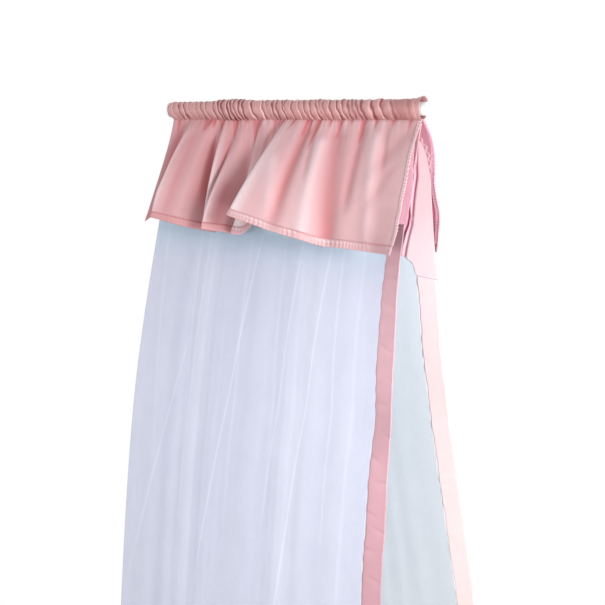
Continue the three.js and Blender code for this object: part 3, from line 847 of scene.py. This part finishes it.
def maths(tree, operation, a, b=None, clamp=False):
    node = tree.nodes.new("ShaderNodeMath")
    node.operation = operation
    node.use_clamp = clamp
    for socket, value in zip(node.inputs, (a, b)):
        feed(tree, socket, value)
    return node.outputs[0]


def noise(tree, vector, scale, detail, roughness=0.5):
    node = tree.nodes.new("ShaderNodeTexNoise")
    preset(node, {"Scale": scale, "Detail": detail, "Roughness": roughness})
    tree.links.new(vector, node.inputs["Vector"])
    return node.outputs["Fac"]


def mixed(tree, factor, a, b, blend="MIX"):
    node = tree.nodes.new("ShaderNodeMix")
    node.data_type = "RGBA"
    node.blend_type = blend
    for socket, value in zip((node.inputs[0], node.inputs[6], node.inputs[7]), (factor, a, b)):
        feed(tree, socket, value)
    return node.outputs[2]


def weave_group():
    """Threads crossing at right angles, with thick and thin places along them."""
    group, given, result = new_group(
        "Woven threads",
        [("Map", "NodeSocketVector", None), ("Threads", "NodeSocketFloat", SATIN_THREADS),
         ("Slub", "NodeSocketFloat", SATIN_SLUB)],
        [("Height", "NodeSocketFloat"), ("Tone", "NodeSocketFloat")],
    )
    split = group.nodes.new("ShaderNodeSeparateXYZ")
    group.links.new(given.outputs["Map"], split.inputs[0])
    waves = []
    for axis in (0, 1):
        turns = maths(group, "MULTIPLY", split.outputs[axis], given.outputs["Threads"])
        waves.append(maths(group, "SINE", maths(group, "MULTIPLY", turns, 2 * math.pi)))
    threads = maths(group, "MULTIPLY", maths(group, "ADD", waves[0], waves[1]), 0.25)
    slubs = []
    for stretch in ((1.0, 9.0, 1.0), (9.0, 1.0, 1.0)):
        node = group.nodes.new("ShaderNodeMapping")
        node.inputs["Scale"].default_value = stretch
        group.links.new(given.outputs["Map"], node.inputs["Vector"])
        slubs.append(noise(group, node.outputs[0], 70.0, 2.0))
    uneven = maths(group, "SUBTRACT", maths(group, "ADD", slubs[0], slubs[1]), 1.0)
    uneven = maths(group, "MULTIPLY", uneven, given.outputs["Slub"])
    group.links.new(maths(group, "ADD", threads, uneven), result.inputs["Height"])
    group.links.new(maths(group, "ADD", uneven, 0.5), result.inputs["Tone"])
    return group


def tone_group():
    """A cloth colour with painted light on ridges and painted shade in valleys, by its Fold input, and
    slightly mottled.
    """
    group, given, result = new_group(
        "Fold tone",
        [("Base", "NodeSocketColor", (1, 1, 1, 1)), ("Ridge", "NodeSocketColor", (1, 1, 1, 1)),
         ("Valley", "NodeSocketColor", (1, 1, 1, 1)), ("Fold", "NodeSocketFloat", 0.0),
         ("Tone", "NodeSocketFloat", 0.5), ("Map", "NodeSocketVector", None)],
        [("Color", "NodeSocketColor")],
    )
    ridge = maths(group, "MULTIPLY", given.outputs["Fold"], 1.0, clamp=True)
    valley = maths(group, "MULTIPLY", given.outputs["Fold"], -1.0, clamp=True)
    tinted = mixed(group, ridge, given.outputs["Base"], given.outputs["Ridge"])
    tinted = mixed(group, valley, tinted, given.outputs["Valley"])
    patches = noise(group, given.outputs["Map"], 9.0, 4.0)
    mottle = maths(group, "SUBTRACT", maths(group, "ADD", patches, given.outputs["Tone"]), 1.0)
    level = maths(group, "ADD", maths(group, "MULTIPLY", mottle, 0.12), 1.0)
    shade = group.nodes.new("ShaderNodeCombineColor")
    for socket in shade.inputs:
        group.links.new(level, socket)
    group.links.new(mixed(group, 1.0, tinted, shade.outputs[0], "MULTIPLY"), result.inputs["Color"])
    return group


WEAVE = weave_group()
TONE = tone_group()


def srgb(red, green, blue):
    """A colour written as screen values from 0 to 255, as the shader wants it."""
    parts = [value / 255 for value in (red, green, blue)]
    linear = [p / 12.92 if p <= 0.04045 else ((p + 0.055) / 1.055) ** 2.4 for p in parts]
    return (*linear, 1.0)


def placed(tree, group, **values):
    node = tree.nodes.new("ShaderNodeGroup")
    node.node_tree = group
    for name, value in values.items():
        feed(tree, node.inputs[name], value)
    return node


def started(name, roughness, metallic=0.0):
    material = bpy.data.materials.new(name)
    material.use_nodes = True
    shader = material.node_tree.nodes["Principled BSDF"]
    preset(shader, {"Roughness": roughness, "Metallic": metallic})
    return material, material.node_tree, shader


def bumped(tree, shader, height, distance, strength, under=None):
    """Bumps the shader's surface, over the bumps of under if that is given."""
    node = tree.nodes.new("ShaderNodeBump")
    preset(node, {"Strength": strength, "Distance": distance})
    tree.links.new(height, node.inputs["Height"])
    if under is not None:
        tree.links.new(under, node.inputs["Normal"])
    tree.links.new(node.outputs["Normal"], shader.inputs["Normal"])
    return node.outputs["Normal"]


def roughened(tree, shader, mask, spread, level):
    """A roughness that starts at a level and rises with a mask."""
    rough = maths(tree, "ADD", maths(tree, "MULTIPLY", mask, spread), level)
    tree.links.new(rough, shader.inputs["Roughness"])


def cloth_nodes(tree, base, ridge, valley, threads, slub):
    """What every cloth starts from: its flat map, its weave and its colour by the folds, with their painted
    light and painted shade.
    """
    uv = tree.nodes.new("ShaderNodeUVMap")
    uv.uv_map = "flat"
    fold = tree.nodes.new("ShaderNodeAttribute")
    fold.attribute_name = "fold"
    weave = placed(tree, WEAVE, Map=uv.outputs[0], Threads=threads, Slub=slub)
    tone = placed(
        tree, TONE, Base=base, Ridge=ridge, Valley=valley, Fold=fold.outputs["Fac"],
        Tone=weave.outputs["Tone"], Map=uv.outputs[0],
    )
    return uv.outputs[0], weave, tone


def woven(name, base, ridge, valley, roughness=0.42):
    """A satin with a fine weave and slight crumples."""
    material, tree, shader = started(name, roughness)
    flat, weave, tone = cloth_nodes(tree, base, ridge, valley, SATIN_THREADS, SATIN_SLUB)
    tree.links.new(tone.outputs["Color"], shader.inputs["Base Color"])
    preset(shader, {"Sheen Weight": SATIN_SHEEN, "Sheen Roughness": 0.4, "Specular IOR Level": 0.4})
    crumple = noise(tree, flat, 28.0, 3.0, 0.45)
    soft = bumped(tree, shader, crumple, 2.2 * MM, 0.5)
    bumped(tree, shader, weave.outputs["Height"], 0.12 * MM, 0.6, soft)
    roughened(tree, shader, weave.outputs["Tone"], 0.16, roughness - 0.08)
    return material


# Painted cool shade that the nets take on under the valance.
NET_SHADE_TINT = srgb(216, 252, 255)


def netting(name, base, line, shade):
    """A thin, see-through net that turns cooler towards its top as painted shade of the valance above; its
    line and shade colours are painted highlight and painted shade.
    """
    material, tree, shader = started(name, 0.85)
    flat, weave, tone = cloth_nodes(tree, base, line, shade, NET_THREADS, NET_SLUB)
    split = tree.nodes.new("ShaderNodeSeparateXYZ")
    tree.links.new(flat, split.inputs[0])
    height = tree.nodes.new("ShaderNodeMapRange")
    height.interpolation_type = "SMOOTHSTEP"
    preset(height, {
        "From Min": CURTAIN_LENGTH - SHADE_TINT_START_DEPTH,
        "From Max": CURTAIN_LENGTH - SHADE_TINT_FULL_DEPTH,
        "To Max": SHADE_TINT_SHARE,
    })
    tree.links.new(split.outputs[1], height.inputs["Value"])
    tinted = mixed(tree, height.outputs["Result"], tone.outputs["Color"], NET_SHADE_TINT, "MULTIPLY")
    tree.links.new(tinted, shader.inputs["Base Color"])
    preset(shader, {
        "Specular IOR Level": 0.15, "Sheen Weight": 0.2, "Subsurface Weight": 0.7,
        "Subsurface Radius": (1.0, 1.0, 1.0), "Subsurface Scale": 1.5 * MM,
    })
    holes = maths(tree, "MULTIPLY", weave.outputs["Height"], 0.3)
    alpha = maths(tree, "ADD", holes, NET_OPACITY, clamp=True)
    tree.links.new(alpha, shader.inputs["Alpha"])
    return material


def dimmed(colour, share):
    """A colour at a share of its brightness."""
    return tuple(share * part for part in colour[:3]) + (1.0,)


def painted(name, colour, roughness):
    """Smooth paint or plastic, slightly uneven."""
    material, tree, shader = started(name, roughness)
    where = tree.nodes.new("ShaderNodeTexCoord")
    fine = noise(tree, where.outputs["Object"], 900.0, 2.0)
    patches = noise(tree, where.outputs["Object"], 45.0, 4.0)
    worn = mixed(tree, maths(tree, "MULTIPLY", patches, 0.35), colour, dimmed(colour, 0.85))
    tree.links.new(worn, shader.inputs["Base Color"])
    roughened(tree, shader, patches, 0.2, roughness - 0.1)
    bumped(tree, shader, fine, 0.06 * MM, 0.4)
    return material


def brushed(name, colour, roughness):
    """Metal with fine marks round it."""
    material, tree, shader = started(name, roughness, 1.0)
    where = tree.nodes.new("ShaderNodeTexCoord")
    stretch = tree.nodes.new("ShaderNodeMapping")
    stretch.inputs["Scale"].default_value = (12.0, 1.0, 1.0)
    tree.links.new(where.outputs["Object"], stretch.inputs["Vector"])
    rings = noise(tree, stretch.outputs[0], 260.0, 4.0)
    dull = noise(tree, where.outputs["Object"], 90.0, 4.0)
    tree.links.new(mixed(tree, dull, colour, dimmed(colour, 0.75)), shader.inputs["Base Color"])
    roughened(tree, shader, dull, 0.25, roughness - 0.12)
    bumped(tree, shader, rings, 0.05 * MM, 0.5)
    return material


# Each satin's second and third colours are painted light on its ridges and painted shade in its valleys.
satin = woven("dusty pink satin", srgb(207, 167, 170), srgb(230, 213, 216), srgb(193, 118, 121))
# The casing is the valances' satin, coloured darker as painted shade among its gathers.
shaded_casing_satin = woven("gathered satin", srgb(200, 152, 150), srgb(229, 184, 185), srgb(134, 66, 72))
# The back ribbon's head is coloured pale as painted light through the cloth from behind; its deep pink third
# colour is its pink side and the painted shade of its creases.
head_satin = woven("pleated ribbon satin", srgb(248, 217, 221), srgb(254, 232, 233), srgb(170, 74, 106), 0.5)
# The satin's inner face, coloured a more saturated pink as painted shade and painted light through the cloth.
reverse = woven("pink reverse", srgb(246, 168, 191), srgb(253, 220, 230), srgb(208, 114, 144))
rosy = woven("rosy ribbon satin", srgb(214, 168, 177), srgb(230, 186, 195), srgb(192, 146, 155), 0.5)
# The front ribbon's head is coloured lighter and pinker than its ribbon, as painted light where it hangs in
# shade.
rosy_head = woven("rosy pleated satin", srgb(228, 172, 190), srgb(240, 190, 204), srgb(190, 112, 138), 0.5)
# The back ribbon is the same satin as the front one, coloured paler as painted light shining through it from
# behind.
pale = woven("pale ribbon satin", srgb(243, 219, 217), srgb(253, 236, 236), srgb(226, 156, 172), 0.5)
net = netting("pale tulle", srgb(199, 203, 219), srgb(221, 225, 238), srgb(183, 187, 207))
# The far net is the same tulle, coloured paler and bluer as painted light on its side seen from within the
# canopy.
lit_far_net = netting("paler tulle", srgb(212, 227, 252), srgb(227, 242, 255), srgb(198, 212, 240))
paint = painted("white paint", srgb(240, 239, 236), 0.35)
plastic = painted("white plastic", srgb(250, 250, 249), 0.5)
zinc = brushed("zinc steel", srgb(190, 192, 196), 0.36)


def dress_node(name, material):
    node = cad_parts[name]
    node.data.materials.clear()
    node.data.materials.append(material)


dress_node("wall_boss", paint)
dress_node("grub_screw", zinc)
dress_node("rod_tube", paint)
dress_node("end_cap", plastic)


# Pieces

casing_cloth = cloth(
    "casing_cloth", casing_place, 980, 46, (0.95, 0.13), SATIN_THICKNESS, [shaded_casing_satin], offset=-1.0,
    push=casing_push,
)
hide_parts("rod_casing")

front_valance = cloth(
    "front_valance_cloth", front_place, 380, 110, (FRONT_WIDTH, FRONT_DEPTH), SATIN_THICKNESS, [satin],
    push=front_hollows,
)
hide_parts("valance_front")
front_hem = cloth(
    "front_valance_hem",
    hem_along(
        front_place, lambda a, b: (a, 1 - b / FRONT_DEPTH), FRONT_WIDTH, HEM_WIDTH,
        lambda a: (0.5 + 0.7 * smooth((a - 0.62) / 0.1)) * MM,
    ),
    1000, 16, (FRONT_WIDTH, 2 * HEM_WIDTH), HEM_THICKNESS, [satin],
    # Painted shade along the far part of the hem, where the far folds lie in shade.
    push=hem_tone(FRONT_WIDTH, lambda a: -0.5 + 0.5 * smooth((a - 0.44) / 0.02)),
)
front_side_hem = cloth(
    "front_valance_side_hem",
    hem_along(
        front_place, lambda a, b: (1 - b / FRONT_WIDTH, a * (1 - HEM_WIDTH / FRONT_DEPTH)), FRONT_DEPTH,
        SIDE_HEM_WIDTH, lambda a: 1.3 * MM * smooth(a / 0.1), 1.6 * MM,
    ),
    260, 14, (FRONT_DEPTH, 2 * SIDE_HEM_WIDTH), HEM_THICKNESS, [satin],
    # Painted light along the valance's near edge, where its folded edge catches the light.
    push=hem_tone(FRONT_DEPTH, lambda a: 0.25 + 0 * a),
)

back_valance = cloth(
    "back_valance_cloth", back_place, 320, 80, (BACK_WIDTH, BACK_DEPTH), SATIN_THICKNESS, [satin, reverse],
    # The gathers' height also gives the back valance painted light on their crests and painted shade between
    # them.
    push=back_push,
)
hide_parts("valance_back")
back_hem = cloth(
    "back_valance_hem",
    hem_along(
        back_place, lambda a, b: (a, 1 - b / BACK_DEPTH), BACK_WIDTH, HEM_WIDTH, lambda a: 0.9 * MM + 0 * a
    ),
    900, 14, (BACK_WIDTH, 2 * HEM_WIDTH), HEM_THICKNESS, [satin], push=hem_tone(BACK_WIDTH, lambda a: 0 * a),
)
back_side_hem = cloth(
    "back_valance_side_hem",
    hem_along(
        back_place, lambda a, b: (b / BACK_WIDTH, a * (1 - HEM_WIDTH / BACK_DEPTH)), BACK_DEPTH,
        1.7 * SIDE_HEM_WIDTH, lambda a: 1.8 * MM * smooth(a / 0.1), 2.4 * MM,
    ),
    260, 14, (BACK_DEPTH, 3.2 * SIDE_HEM_WIDTH), HEM_THICKNESS, [reverse],
    # Painted light along the back valance's near edge, which lies in shade.
    push=hem_tone(BACK_DEPTH, lambda a: 0.45 + 0 * a),
)

for side, label in ((-1, "front"), (1, "back")):
    curtain = cloth(
        f"{label}_net", net_place(side), 460, 90, (NET_MAP_WIDTH, CURTAIN_LENGTH), NET_THICKNESS,
        [net if side < 0 else lit_far_net],
        push=lambda u, v, side=side: net_tone(side, u if side < 0 else 1 - u, v),
    )
    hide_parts(f"curtain_{label}")
    ribbon = cloth(
        f"{label}_ribbon_cloth", ribbon_place(side), 16, 600, (RIBBON_WIDTH, 1.6), RIBBON_THICKNESS,
        [rosy if side < 0 else pale], push=front_ribbon_tone if side < 0 else back_ribbon_tone,
    )
    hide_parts(f"ribbon_{label}")


front_head = cloth(
    "front_ribbon_head", front_head_place, 40, 80, (0.055, 0.21), RIBBON_THICKNESS, [rosy_head],
)
head = cloth(
    "back_ribbon_head", head_place, 90, 120, (0.07, 0.31), RIBBON_THICKNESS, [head_satin], push=head_tone,
)


# Floor, light and camera

FLOOR_PLACE = (0.4, -0.05, -1.9)
FLOOR_RADIUS = 0.8
ROOM_TINT = (1.0, 0.955, 0.975, 1.0)
ROOM_STRENGTH = 0.52
CAMERA_PLACE = Vector((1.1914, -1.4283, -0.0134))
CAMERA_TURN = math.radians(29.53)
CAMERA_PITCH = math.radians(14.96)
CAMERA_LENS = 41.65
# Each row: name, place, the point that it faces, size and power.
LAMPS = [
    ("key", (3.0, -1.35, 0.35), (0.4, 0.0, -0.3), 0.9, 55.0),
    ("fill", (-0.4, -3.0, -0.3), (0.35, 0.0, -0.5), 1.6, 27.0),
    ("opening", (1.6, -0.5, -0.6), (0.62, 0.12, -0.6), 0.6, 8.6),
    ("back", (0.3, 2.6, 0.8), (0.35, 0.0, -0.5), 1.8, 24.0),
]


def make_floor():
    bm = bmesh.new()
    bmesh.ops.create_circle(bm, cap_ends=True, segments=96, radius=FLOOR_RADIUS)
    bmesh.ops.translate(bm, verts=bm.verts, vec=FLOOR_PLACE)
    mesh = bpy.data.meshes.new("floor")
    bm.to_mesh(mesh)
    bm.free()
    floor = linked("floor", mesh)
    material, _, shader = started("pale floor", 0.7)
    shader.inputs["Base Color"].default_value = srgb(236, 236, 236)
    mesh.materials.append(material)


def make_world():
    world = bpy.data.worlds.new("studio")
    bpy.context.scene.world = world
    world.use_nodes = True
    tree = world.node_tree
    tree.nodes.clear()
    path = tree.nodes.new("ShaderNodeLightPath")
    seen = maths(tree, "MAXIMUM", path.outputs["Is Camera Ray"], path.outputs["Is Glossy Ray"])
    seen = maths(tree, "MAXIMUM", seen, path.outputs["Is Transmission Ray"])
    room = tree.nodes.new("ShaderNodeBackground")
    preset(room, {"Color": ROOM_TINT, "Strength": ROOM_STRENGTH})
    white = tree.nodes.new("ShaderNodeBackground")
    preset(white, {"Color": (1.0, 1.0, 1.0, 1.0), "Strength": 1.0})
    mix = tree.nodes.new("ShaderNodeMixShader")
    tree.links.new(seen, mix.inputs[0])
    tree.links.new(room.outputs[0], mix.inputs[1])
    tree.links.new(white.outputs[0], mix.inputs[2])
    output = tree.nodes.new("ShaderNodeOutputWorld")
    tree.links.new(mix.outputs[0], output.inputs["Surface"])


def make_lamp(name, place, target, size, power):
    light = bpy.data.lights.new(name, "AREA")
    light.shape = "DISK"
    light.size = size
    light.energy = power
    lamp = linked(name, light)
    lamp.location = place
    lamp.rotation_euler = (Vector(target) - Vector(place)).to_track_quat("-Z", "Y").to_euler()


def make_camera():
    camera = linked("camera", bpy.data.cameras.new("camera"))
    camera.data.sensor_width = 36.0
    camera.data.lens = CAMERA_LENS
    camera.data.clip_end = 50.0
    camera.matrix_world = (
        Matrix.Translation(CAMERA_PLACE)
        @ Matrix.Rotation(CAMERA_TURN, 4, "Z")
        @ Matrix.Rotation(math.pi / 2 - CAMERA_PITCH, 4, "X")
    )
    bpy.context.scene.camera = camera


make_floor()
make_world()
for lamp_row in LAMPS:
    make_lamp(*lamp_row)
make_camera()
bpy.context.scene.view_settings.view_transform = "Standard"
